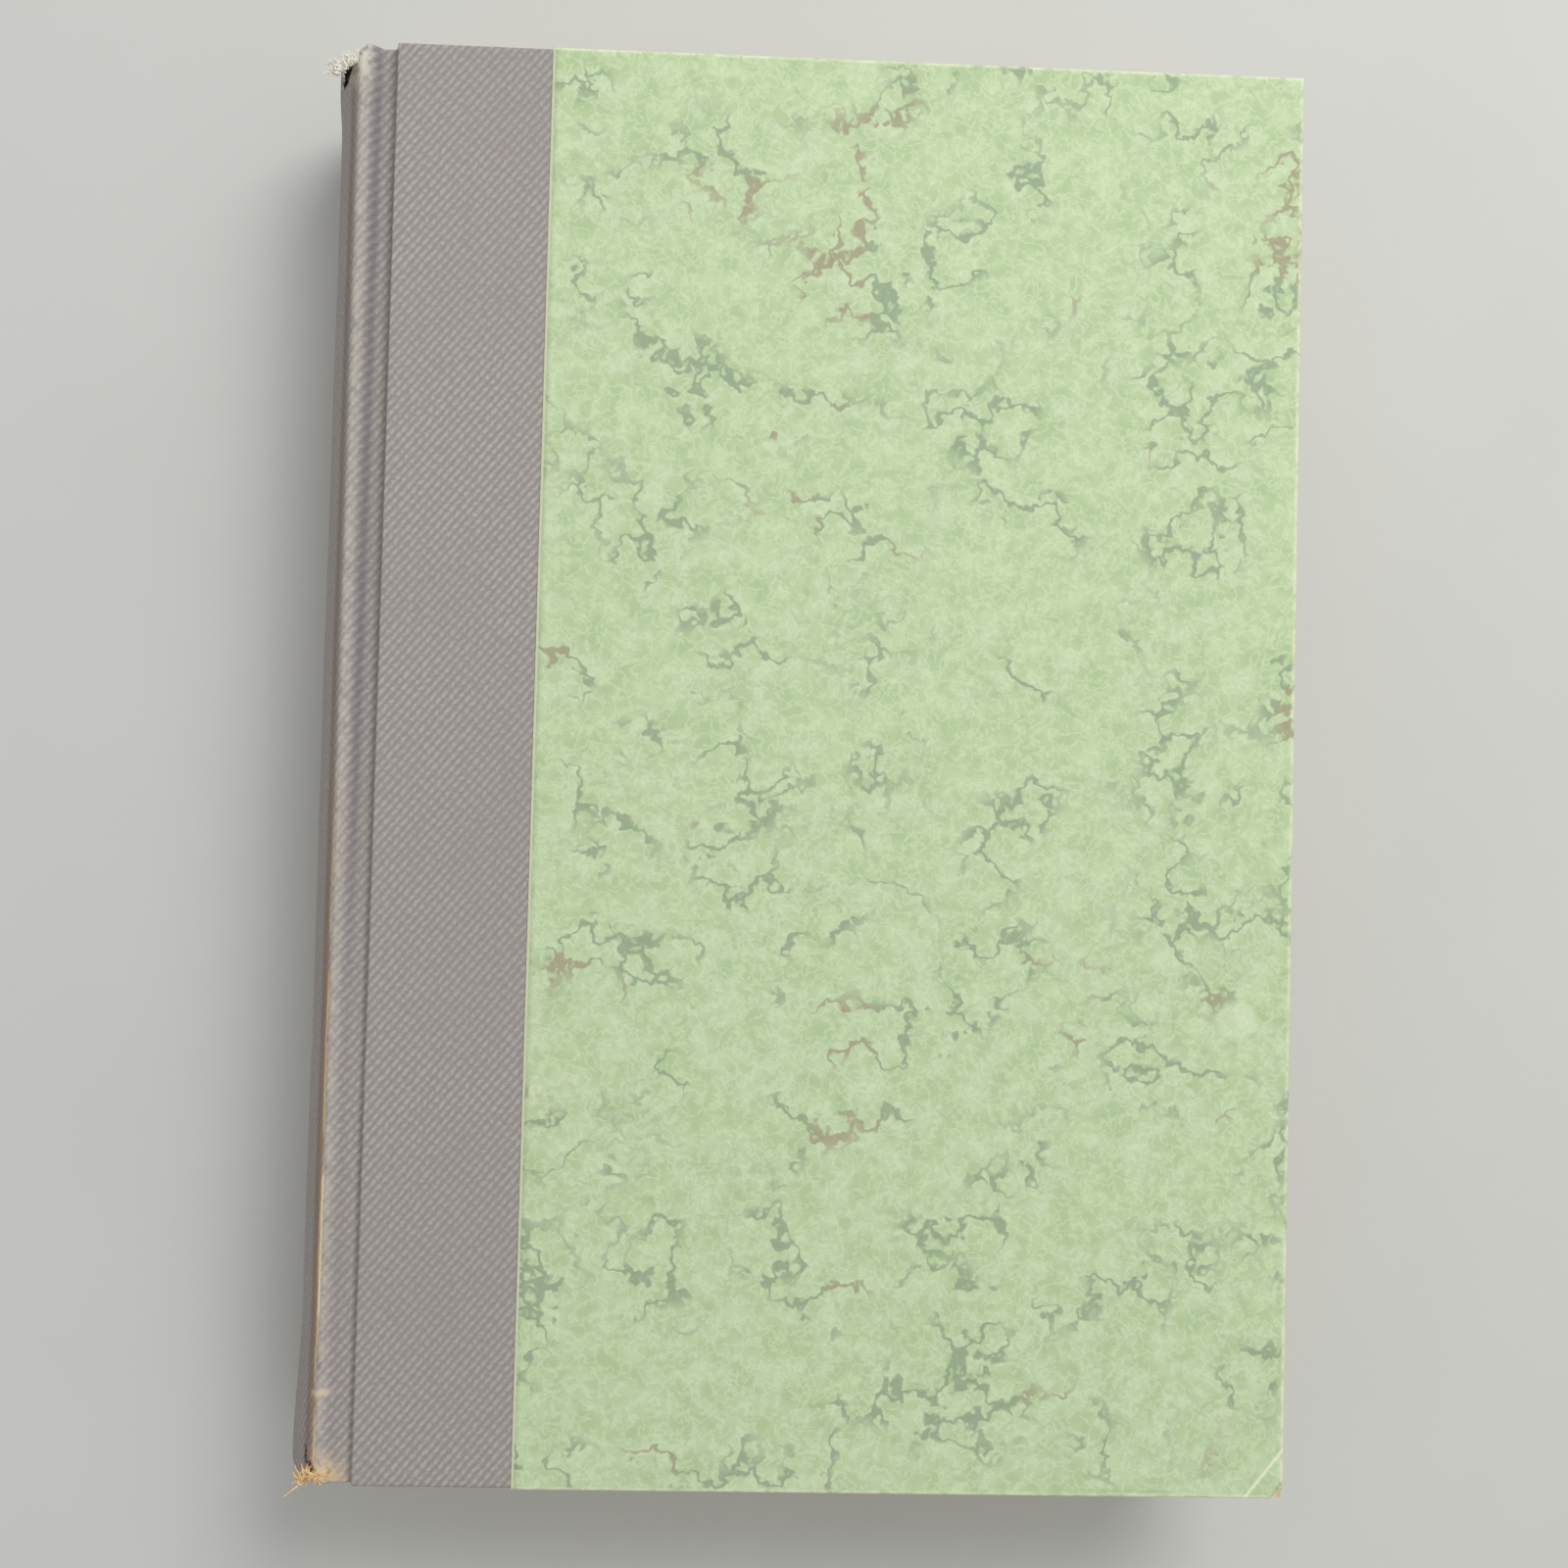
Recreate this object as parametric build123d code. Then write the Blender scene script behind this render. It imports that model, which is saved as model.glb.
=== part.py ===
from build123d import *
import math
import os

# A quarter-bound hardback book. It lies on its back cover with the spine at -X, the fore edge at +X,
# the head at +Y and the front cover up. Sizes are in millimetres.

# Driving dimensions: the leaves
leaf_height = 229.0
leaf_width = 152.0          # from the joint line, just inside the spine's ridge, to the fore edge
leaf_stack = 29.7           # all the text leaves, pressed flat
flyleaf_thickness = 0.15
fore_edge_hollow = 4.5      # how far the rounding draws the fore edge in

# Driving dimensions: the covers
head_square = 3.0           # how far the boards stand past the leaves at head and tail
fore_square = 3.1           # the same at the fore edge
board_thickness = 2.65
cloth_thickness = 0.35
paper_thickness = 0.2
pastedown_thickness = 0.15
cloth_width = 28.5          # cloth on each board, from the joint
paper_lap = 3.0             # how far the paper covers the cloth
turn_in = 15.0              # cloth and paper folded round onto the inside of a board
pastedown_margin = 3.5      # turn-in left showing round a pastedown

# Driving dimensions: the spine
joint_width = 4.3           # from the joint line to a board
joint_gap = 0.3             # between the cloth in the groove and the cloth on the board
ridge_setback = 1.0         # centre of the ridge, behind the joint line
ridge_radius = 1.2
ridge_drop = 0.1            # top of the ridge, below the outside of the cover
spine_round = 6.1           # how far the spine bulges past its ridges
shoulder_slope = math.radians(46.0)
glue_line = 0.05
inlay_thickness = 0.5
hollow = 0.1                # play between the turned-in cloth and the spine lining
lining_thickness = 0.35
mull_thickness = 0.2
cord_diameter = 1.5
cap_turn_in = 12.0          # cloth folded in behind the inlay at head and tail
end_relief = 0.5            # how much shorter the lining and mull are than the leaves, at each end

# Driving dimensions: the hinges
hinge_setback = 0.5         # the axis lies this far behind the joint line

# Wear
head_tear = ((-9.0, -7.1), (-5.7, -5.1), (0.6, 0.6), (0.6, 9.0), (-9.0, 9.0))   # from the joint line and head
tail_hole = ((-4.2, 1.8), (-3.3, 3.4), (-2.1, 3.1), (-2.4, 1.7), (-3.4, 1.3))   # from the joint line and tail
tear_depth = 14.0           # how far down the spine the tear and the hole reach
bare_corner = (2.2, 3.2)    # paper lost at the front cover's lower fore corner
blunt_corner = 0.7

# Derived sizes
cover_thickness = paper_thickness + board_thickness + pastedown_thickness
inner_face = cover_thickness - pastedown_thickness
thickness = 2 * (cover_thickness + flyleaf_thickness) + leaf_stack
middle = thickness / 2
board_height = leaf_height + 2 * head_square
overall_width = spine_round + ridge_setback + leaf_width + fore_square
spine_x = -overall_width / 2
joint_line = spine_x + spine_round + ridge_setback
fore_x = overall_width / 2
board_x = joint_line + joint_width
cloth_end = board_x + cloth_width
paper_start = cloth_end - paper_lap

# The layers of the spine, each by its depth below the outside of the cloth
inlay_depth = cloth_thickness + glue_line
turn_depth = inlay_depth + inlay_thickness + glue_line
lining_depth = turn_depth + cloth_thickness + hollow
mull_depth = lining_depth + lining_thickness + glue_line
leaf_depth = mull_depth + mull_thickness + glue_line

# The same over the shoulder and in the groove, where only the mull lies under the cloth
joint_mull_depth = cloth_thickness + glue_line
joint_leaf_depth = joint_mull_depth + mull_thickness + glue_line
groove_z = thickness - cover_thickness + joint_leaf_depth

# The ridge is a small round, tangent to the spine's large one
ridge_x = joint_line - ridge_setback
ridge_z = thickness - ridge_drop - ridge_radius
ridge_rise = ridge_z - middle
spine_radius = (spine_round ** 2 + ridge_rise ** 2 - ridge_radius ** 2) / (2 * (spine_round - ridge_radius))
spine_axis_x = spine_x + spine_radius
ridge_angle = math.atan2(ridge_rise, spine_axis_x - ridge_x)
spine_axis = Axis((spine_axis_x, 0, middle), (0, 1, 0))

# The cord in each cap, and the caps' place along the spine
cap_radius = cord_diameter / 2 + glue_line + cloth_thickness
cap_y = board_height / 2 - cap_radius
inlay_height = 2 * (cap_y - cap_radius - glue_line)


def slab(x0, x1, y0, y1, z0, z1):
    """A flat box between two corners."""
    return Pos((x0 + x1) / 2, (y0 + y1) / 2, (z0 + z1) / 2) * Box(x1 - x0, y1 - y0, z1 - z0)


def both_ends(x0, x1, y0, y1, z0, z1):
    """The same slab at the head and at the tail."""
    return slab(x0, x1, y0, y1, z0, z1) + slab(x0, x1, -y1, -y0, z0, z1)


def along(outline, height):
    """A closed cross-section carried along the height of the book."""
    return extrude(Plane.XZ * make_face(outline), amount=height / 2, both=True)


def front_and_back(back):
    """A piece of the back cover's half, with its mirror image in the front half."""
    return mirror(back, about=Plane.XY.offset(middle)), back


def flipped(point):
    """The same point of a cross-section, in the back half of the thickness."""
    return point[0], thickness - point[1]


def on_round(depth, angle):
    """A point of the spine's round: its depth below the cloth's face, and its angle from the middle."""
    radius = spine_radius - depth
    return spine_axis_x - radius * math.cos(angle), middle + radius * math.sin(angle)


def round_strip(depth, layer, angle, height):
    """A layer of the spine between two arcs, as wide as twice the angle."""
    inner = depth + layer
    outline = ThreePointArc(on_round(depth, -angle), on_round(depth, 0), on_round(depth, angle))
    outline += Line(on_round(depth, angle), on_round(inner, angle))
    outline += ThreePointArc(on_round(inner, angle), on_round(inner, 0), on_round(inner, -angle))
    outline += Line(on_round(inner, -angle), on_round(depth, -angle))
    return along(outline, height)


def on_ridge(depth, lean):
    """A point of the ridge's small round, leaning so far from straight up."""
    radius = ridge_radius - depth
    return ridge_x + radius * math.sin(lean), ridge_z + radius * math.cos(lean)


def slope_foot(depth, floor_z):
    """Where the slope of the shoulder, so deep below the cloth, comes down to a floor."""
    x, z = on_ridge(depth, shoulder_slope)
    return x + (z - floor_z) / math.tan(shoulder_slope), floor_z


def shoulder_tip(back_depth, slope_depth):
    """The sharp corner where a layer's spine round meets its shoulder slope."""
    x, z = on_ridge(slope_depth, shoulder_slope)
    dx, dz = x - spine_axis_x, z - middle
    radius = spine_radius - back_depth
    half = dx * math.cos(shoulder_slope) - dz * math.sin(shoulder_slope)
    step = -half - math.sqrt(half ** 2 - dx ** 2 - dz ** 2 + radius ** 2)
    return x + step * math.cos(shoulder_slope), z - step * math.sin(shoulder_slope)


def leaves():
    """The text leaves: rounded back, 45 degree shoulders, hollow fore edge."""
    top = middle + leaf_stack / 2
    edge_x = joint_line + leaf_width
    tip = shoulder_tip(leaf_depth, joint_leaf_depth)
    foot = slope_foot(joint_leaf_depth, top)
    outline = Polyline((edge_x, top), foot, tip)
    outline += ThreePointArc(tip, on_round(leaf_depth, 0), flipped(tip))
    outline += Polyline(flipped(tip), flipped(foot), (edge_x, thickness - top))
    outline += ThreePointArc((edge_x, thickness - top), (edge_x - fore_edge_hollow, middle), (edge_x, top))
    return along(outline, leaf_height)


def flyleaf():
    """The free endpaper under the block, from the shoulder's foot to the fore edge."""
    start = slope_foot(joint_leaf_depth, middle + leaf_stack / 2)[0] + glue_line
    bottom = cover_thickness
    half = leaf_height / 2
    return slab(start, joint_line + leaf_width, -half, half, bottom, bottom + flyleaf_thickness)


def mull():
    """Open-weave cloth glued over the back of the leaves, the shoulders and the groove floors."""
    groove_end = board_x - joint_gap
    halves = []
    for back_depth, slope_depth in ((mull_depth, joint_mull_depth),
                                    (mull_depth + mull_thickness, joint_mull_depth + mull_thickness)):
        floor_z = groove_z - slope_depth
        tip = shoulder_tip(back_depth, slope_depth)
        halves.append((back_depth, (groove_end, floor_z), slope_foot(slope_depth, floor_z), tip))
    (outer_depth, outer_end, outer_foot, outer_tip), (inner_depth, inner_end, inner_foot, inner_tip) = halves
    outline = Polyline(outer_end, outer_foot, outer_tip)
    outline += ThreePointArc(outer_tip, on_round(outer_depth, 0), flipped(outer_tip))
    outline += Polyline(flipped(outer_tip), flipped(outer_foot), flipped(outer_end), flipped(inner_end),
                        flipped(inner_foot), flipped(inner_tip))
    outline += ThreePointArc(flipped(inner_tip), on_round(inner_depth, 0), inner_tip)
    outline += Polyline(inner_tip, inner_foot, inner_end, outer_end)
    return along(outline, leaf_height - 2 * end_relief)


def joint_cloth():
    """Cloth over the front ridge, down the shoulder and along the groove floor."""
    end_x = board_x - joint_gap
    inner_z = groove_z - cloth_thickness
    lean = ridge_angle - math.pi / 2
    turn = (lean + shoulder_slope) / 2
    outline = ThreePointArc(on_ridge(0, lean), on_ridge(0, turn), on_ridge(0, shoulder_slope))
    outline += Polyline(on_ridge(0, shoulder_slope), slope_foot(0, groove_z), (end_x, groove_z),
                        (end_x, inner_z), slope_foot(cloth_thickness, inner_z),
                        on_ridge(cloth_thickness, shoulder_slope))
    outline += ThreePointArc(on_ridge(cloth_thickness, shoulder_slope), on_ridge(cloth_thickness, turn),
                             on_ridge(cloth_thickness, lean))
    outline += Line(on_ridge(cloth_thickness, lean), on_ridge(0, lean))
    return along(outline, board_height - 2 * paper_thickness)


def swept_round(profile):
    """A flat profile carried round the spine from ridge to ridge."""
    turned = revolve(profile, axis=spine_axis, revolution_arc=math.degrees(2 * ridge_angle))
    return turned.rotate(spine_axis, -math.degrees(ridge_angle))


def in_cap(sketch):
    """A sketch placed at the cord's centre in the head cap."""
    return Pos(spine_x + cap_radius, cap_y, middle) * sketch


def round_cloth():
    """Cloth over the spine's round: rolled round a cord at each end, and folded in behind the inlay."""
    layer = Rectangle(cloth_thickness, cap_y, align=Align.MIN)
    fold = Rectangle(cloth_thickness, cap_turn_in, align=(Align.MIN, Align.MAX))
    fold_y = cap_y - cap_radius + cloth_thickness
    head_half = Pos(spine_x, 0, middle) * layer + in_cap(Circle(cap_radius))
    head_half += Pos(spine_x + turn_depth, fold_y, middle) * fold
    head_half -= in_cap(Circle(cap_radius - cloth_thickness))
    return swept_round(head_half + mirror(head_half, about=Plane.XZ))


def cord():
    """The cord in the head cap."""
    return swept_round(in_cap(Circle(cord_diameter / 2)))


def cutter(points, x, y):
    """A prism through the front of the spine, for a tear or a hole."""
    outline = Polygon(*[(x + px, y + py) for px, py in points], align=None)
    return extrude(Pos(0, 0, thickness - tear_depth) * outline, amount=2 * tear_depth)


def cover_cloth():
    """Cloth on the back board: outside, joint edge, head and tail edges and turn-ins."""
    half = board_height / 2 - paper_thickness
    low = paper_thickness
    high = inner_face - paper_thickness
    cloth = slab(board_x, cloth_end, -half, half, low, low + cloth_thickness)
    cloth += slab(board_x, board_x + cloth_thickness, -half, half, low, inner_face)
    cloth += both_ends(board_x, cloth_end, half - cloth_thickness, half, low, high)
    cloth += both_ends(board_x, cloth_end, half - turn_in, half, high - cloth_thickness, high)
    return cloth


def cover_paper():
    """Paper on the back board: outside, three edges and their turn-ins."""
    half = board_height / 2
    turned_z = inner_face - paper_thickness
    paper = slab(paper_start, fore_x, -half, half, 0, paper_thickness)
    paper += slab(fore_x - paper_thickness, fore_x, -half, half, 0, inner_face)
    paper += both_ends(paper_start, fore_x, half - paper_thickness, half, 0, inner_face)
    paper += both_ends(paper_start, fore_x, half - turn_in, half, turned_z, inner_face)
    paper += slab(fore_x - turn_in, fore_x, -half, half, turned_z, inner_face)
    return paper


def board(cloth, paper):
    """The millboard inside the back cover: whatever its cloth and paper leave of the blank."""
    half = board_height / 2 - paper_thickness
    blank = slab(board_x, fore_x - paper_thickness, -half, half, paper_thickness, inner_face)
    hidden_fold = both_ends(board_x, paper_start, half - turn_in, half, inner_face - paper_thickness, inner_face)
    return blank - cloth - paper - hidden_fold


def pastedown():
    """The endpaper pasted to the inside of the back cover."""
    half = board_height / 2 - pastedown_margin
    return slab(board_x, fore_x - pastedown_margin, -half, half, inner_face, cover_thickness)


def corner_cut(along_x, along_y):
    """A triangular prism at the front cover's lower fore corner."""
    corner = (fore_x, -board_height / 2)
    outline = Polygon(corner, (corner[0] - along_x, corner[1]), (corner[0], corner[1] + along_y), align=None)
    return extrude(Pos(0, 0, middle) * outline, amount=thickness)


tear = cutter(head_tear, joint_line, board_height / 2)
hole = cutter(tail_hole, joint_line, -board_height / 2)
torn_end = slab(spine_x, board_x, 0, board_height / 2, thickness - tear_depth, thickness)

front_joint, back_joint = front_and_back(mirror(joint_cloth(), about=Plane.XY.offset(middle)))
whole_spine = round_cloth() + front_joint + back_joint

front_flyleaf, back_flyleaf = front_and_back(flyleaf())
front_cloth, back_cloth = front_and_back(cover_cloth())
front_paper, back_paper = front_and_back(cover_paper())
front_board, back_board = front_and_back(board(cover_cloth(), cover_paper()))
front_pastedown, back_pastedown = front_and_back(pastedown())

nodes = {
    "text_block": leaves(),
    "front_flyleaf": front_flyleaf,
    "back_flyleaf": back_flyleaf,
    "mull": mull(),
    "spine_lining": round_strip(lining_depth, lining_thickness, 0.9 * ridge_angle, leaf_height - 2 * end_relief),
    "spine_inlay": round_strip(inlay_depth, inlay_thickness, ridge_angle, inlay_height) - tear,
    "head_cord": cord() - torn_end,
    "tail_cord": mirror(cord(), about=Plane.XZ),
    "spine_cloth": whole_spine - tear - hole,
    "front_board": front_board - corner_cut(blunt_corner, blunt_corner),
    "front_cover_cloth": front_cloth,
    "front_cover_paper": front_paper - corner_cut(*bare_corner),
    "front_pastedown": front_pastedown,
    "back_board": back_board,
    "back_cover_cloth": back_cloth,
    "back_cover_paper": back_paper,
    "back_pastedown": back_pastedown,
}

os.makedirs("parts", exist_ok=True)
for name, solid in nodes.items():
    export_step(solid, f"parts/{name}.step")

hinge_x = joint_line - hinge_setback
hinge_height = cover_thickness / 2
print(f"overall {overall_width:.2f} x {board_height:.2f} x {thickness:.2f}")
print(f"hinge axes at x {hinge_x:.3f}, z {hinge_height:.3f} and {thickness - hinge_height:.3f}")
print(f"board from x {board_x:.3f}, spine radius {spine_radius:.3f}, ridge at {math.degrees(ridge_angle):.2f} degrees")
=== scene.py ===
# %% [markdown]
# A quarter-bound hardback book. The imported model gives every piece at its real size in one frame: +X runs
# from the spine to the fore edge, +Y to the head and +Z up through the front cover. Sizes and places start
# from that model. The depth of the groove's wear, the tears and the colours are given here.

# %% The frame and its sizes
import math

import bpy
import numpy as np
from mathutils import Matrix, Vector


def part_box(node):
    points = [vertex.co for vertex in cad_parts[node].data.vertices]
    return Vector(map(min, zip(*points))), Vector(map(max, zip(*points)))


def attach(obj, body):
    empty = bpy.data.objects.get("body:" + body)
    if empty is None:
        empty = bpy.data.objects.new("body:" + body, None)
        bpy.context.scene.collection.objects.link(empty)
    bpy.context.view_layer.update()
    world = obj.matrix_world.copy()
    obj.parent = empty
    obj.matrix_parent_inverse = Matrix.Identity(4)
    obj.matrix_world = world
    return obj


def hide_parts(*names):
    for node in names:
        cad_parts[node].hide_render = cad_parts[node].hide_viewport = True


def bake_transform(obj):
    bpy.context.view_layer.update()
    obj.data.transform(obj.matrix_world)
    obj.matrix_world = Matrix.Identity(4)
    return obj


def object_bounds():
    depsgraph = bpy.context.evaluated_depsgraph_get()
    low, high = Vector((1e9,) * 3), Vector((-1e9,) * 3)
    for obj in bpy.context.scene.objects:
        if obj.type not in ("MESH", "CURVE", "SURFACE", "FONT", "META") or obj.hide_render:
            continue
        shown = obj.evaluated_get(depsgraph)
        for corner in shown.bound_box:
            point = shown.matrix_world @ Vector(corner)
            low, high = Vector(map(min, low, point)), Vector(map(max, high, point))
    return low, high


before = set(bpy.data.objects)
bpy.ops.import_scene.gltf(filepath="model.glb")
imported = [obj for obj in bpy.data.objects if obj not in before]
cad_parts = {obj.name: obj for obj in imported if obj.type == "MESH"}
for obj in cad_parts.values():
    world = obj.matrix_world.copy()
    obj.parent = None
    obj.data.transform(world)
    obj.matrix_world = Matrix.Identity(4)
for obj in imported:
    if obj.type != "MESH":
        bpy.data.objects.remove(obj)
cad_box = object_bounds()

MM = 0.001


def node_box(node):
    """Lowest and highest corner of a node, in millimetres."""
    low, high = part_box(node)
    return np.array(low) / MM, np.array(high) / MM


spine_x, thick = cad_box[0].x / MM, cad_box[1].z / MM
fore_x, half_height = cad_box[1].x / MM, cad_box[1].y / MM
middle = thick / 2
cloth_low, cloth_high = node_box("back_cover_cloth")
paper_low, _ = node_box("back_cover_paper")
block_low, block_high = node_box("text_block")
paste_low, paste_high = node_box("back_pastedown")
fly_low, fly_high = node_box("back_flyleaf")
board_x = cloth_low[0]
paper_skin = cloth_low[2]
cover_thick = paste_high[2]
paste_thick = paste_high[2] - paste_low[2]
print("book", round(fore_x - spine_x, 1), "x", round(2 * half_height, 1), "x", round(thick, 1), "mm")

# %% [markdown]
# Every new piece is a surface worked out on a grid. It could be modelled by hand or cut from solids, but a
# sheet that bends, folds and tears is easiest to say as a formula. One helper joins such grids into a mesh,
# welds the seams where two grids share points, and lets Solidify give the sheet its real thickness.


# %% Mesh helpers
def grid_faces(rows, columns, first=0, keep=None):
    """Four-sided faces between neighbouring points of a grid; keep drops the cells where it is False."""
    index = first + np.arange(rows * columns).reshape(rows, columns)
    faces = np.stack([index[:-1, :-1], index[1:, :-1], index[1:, 1:], index[:-1, 1:]], -1)
    return faces[keep] if keep is not None else faces.reshape(-1, 4)


def piece(name, grids, sheet=0.0, flip=False, weld=0.002):
    """A mesh object from grids, each (points, weave coordinates, kept cells), in millimetres."""
    points, weave, faces, first = [], [], [], 0
    for place, cloth, keep in grids:
        rows, columns = place.shape[:2]
        faces.append(grid_faces(rows, columns, first, keep))
        points.append(place.reshape(-1, 3))
        weave.append(cloth.reshape(-1, 2))
        first += rows * columns
    points, weave, faces = np.concatenate(points), np.concatenate(weave), np.concatenate(faces)
    if flip:
        faces = faces[:, ::-1]
    _, chosen, shared = np.unique(np.round(points / weld).astype(np.int64), axis=0, return_index=True,
                                  return_inverse=True)
    joined = shared.reshape(-1)[faces]
    sides = np.array([len(set(face)) for face in joined.tolist()])
    joined = joined[sides > 2]
    outline = [list(dict.fromkeys(face)) for face in joined.tolist()]
    used, final = np.unique(np.concatenate(outline), return_inverse=True)
    starts = np.cumsum([0] + [len(face) for face in outline])
    final = final.reshape(-1)
    outline = [final[i:j].tolist() for i, j in zip(starts[:-1], starts[1:])]
    mesh = bpy.data.meshes.new(name)
    mesh.from_pydata((points[chosen][used] * MM).tolist(), [], outline)
    corner = np.zeros(len(mesh.loops), np.int32)
    mesh.loops.foreach_get("vertex_index", corner)
    layer = mesh.uv_layers.new(name="weave")
    layer.data.foreach_set("uv", (weave[chosen][used][corner] / 100).astype(np.float32).ravel())
    mesh.shade_smooth()
    thing = bpy.data.objects.new(name, mesh)
    bpy.context.scene.collection.objects.link(thing)
    if sheet:
        wall = thing.modifiers.new("thickness", "SOLIDIFY")
        wall.thickness, wall.offset = sheet * MM, -1.0
    print(name, len(mesh.polygons), "faces")
    return thing


def smooth(t):
    """A step from 0 to 1 that starts and ends level."""
    t = np.clip(t, 0, 1)
    return t * t * (3 - 2 * t)


def bell(t, centre, width):
    """A bump of height 1 that fades either side of its centre."""
    return np.exp(-((t - centre) / width) ** 2)


def wobble(t, seed, longest, count=5):
    """A gentle repeatable waver between about -1 and 1: a sum of sines, each shorter and lower."""
    rng = np.random.default_rng(seed)
    total = np.zeros_like(np.asarray(t, float))
    for k in range(count):
        total += np.sin(2 * np.pi * (t / longest * 1.7 ** k + rng.random())) / (k + 1.5)
    return total / 1.6


# %% [markdown]
# The book cloth is one sheet glued round the spine and onto both boards. It is made as two halves that meet
# along the middle of the spine, because each half would bend at its own joint. Across the book the cloth
# follows the spine's round, the ridge, the groove pressed beside the board, and the board. Along the book it
# is
# folded in over each end: round a cord on the spine, and tightly over the board's edge.

# %% The cross-section of the cloth
ridge_x, ridge_radius = spine_x + 6.1, 1.2
ridge_z = thick - 0.1 - ridge_radius
ridge_rise = ridge_z - middle
spine_round = ridge_x - spine_x
spine_radius = (spine_round ** 2 + ridge_rise ** 2 - ridge_radius ** 2) / (2 * (spine_round - ridge_radius))
axis_x = spine_x + spine_radius
ridge_angle = math.atan2(ridge_rise, axis_x - ridge_x)
cloth_top = thick - paper_skin
groove_floor = thick - cover_thick + 0.65
arc_length = spine_radius * ridge_angle
turn_length = ridge_radius * (math.pi / 2 - ridge_angle)
crest_s = arc_length + turn_length
cloth_thick = 0.35
board_s = crest_s + board_x - ridge_x
edge_s = crest_s + cloth_high[0] - ridge_x


def cloth_section(s, y, worn):
    """The outer face of the cloth at arc length s from the spine's middle.

    Up to the ridge it is a large arc and then a small one tangent to it; past the ridge it is a height over
    the joint: level, a smooth step down to the groove, and a sharper step up at the board.
    worn 1 gives the front's groove, which is deep at the head and nearly pressed flat at the tail."""
    angle = np.minimum(s, arc_length) / spine_radius
    x = axis_x - spine_radius * np.cos(angle)
    z = middle + spine_radius * np.sin(angle)
    lean = ridge_angle - math.pi / 2 + np.clip(s - arc_length, 0, turn_length) / ridge_radius
    on_ridge = s > arc_length
    x = np.where(on_ridge, ridge_x + ridge_radius * np.sin(lean), x)
    z = np.where(on_ridge, ridge_z + ridge_radius * np.cos(lean), z)
    past = np.maximum(s - crest_s, 0)
    x = np.where(s > crest_s, ridge_x + past, x)
    fade = worn * smooth((half_height * 0.35 - y) / (1.15 * half_height))
    depth = (cloth_top - groove_floor) * (1 - 0.62 * fade)
    slope = smooth((past - 0.55) / 2.5)
    rise = smooth((x - board_x + 0.42) / 0.62)
    crease = 0.5 * fade * bell(x, board_x - 0.55, 0.3)
    joint = (thick - 0.1) - (thick - 0.1 - cloth_top) * slope - depth * slope * (1 - rise) - crease
    z = np.where(s > crest_s, joint, z)
    flare = (0.9 * smooth((y + half_height - 26) / -24) + 0.55 * smooth((y - half_height + 13) / 9)) * worn
    swell = (flare + 0.12 * wobble(y, 3, 120)) * np.cos(np.minimum(s / arc_length, 1) * np.pi / 2) ** 0.6
    x = x - swell * np.cos(angle)
    z = z + swell * np.sin(angle) * 0.4
    z = z + np.where(on_ridge, 0.05 * wobble(y, 8, 45) * worn * (1 - smooth(past / 3)), 0)
    return x, z


def fold(b, end, radius, wall):
    """How far along the book and how deep inside a folded-over sheet is, at length b from the middle.

    It runs level to the end, turns down through a quarter circle, runs down a wall, turns again and comes
    back. Returns the distance from the middle, the depth, and how far it has come back."""
    straight = end - radius
    quarter = radius * np.pi / 2
    t = b - straight
    first = np.clip(t / quarter, 0, 1) * np.pi / 2
    down = np.clip(t - quarter, 0, wall)
    second = np.clip((t - quarter - wall) / quarter, 0, 1) * np.pi / 2
    back = np.maximum(t - 2 * quarter - wall, 0)
    y = np.minimum(b, straight) + radius * np.sin(first) - radius * (1 - np.cos(second)) - back
    depth = radius * (1 - np.cos(first)) + down + radius * np.sin(second)
    return y, depth, back


# %% [markdown]
# The grid is close together where the cloth bends or is torn and wide where it is flat. The tears are cells
# left out of the grid, along a wavering line, so that the edge of the hole is ragged.

# %% The two halves of the cloth
def stations(*spans):
    """Distances from spans of (start, end, step), end to end."""
    parts = [np.linspace(a, b, max(2, round(abs(b - a) / step) + 1)) for a, b, step in spans]
    return np.unique(np.round(np.concatenate(parts), 5))


cap_relief = 2.3 - 1.3
spine_flap, joint_flap, board_flap = 12.0, 0.6, 14.0
cap_radius, joint_fold, board_fold = 1.15, 0.4, 0.5


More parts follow.
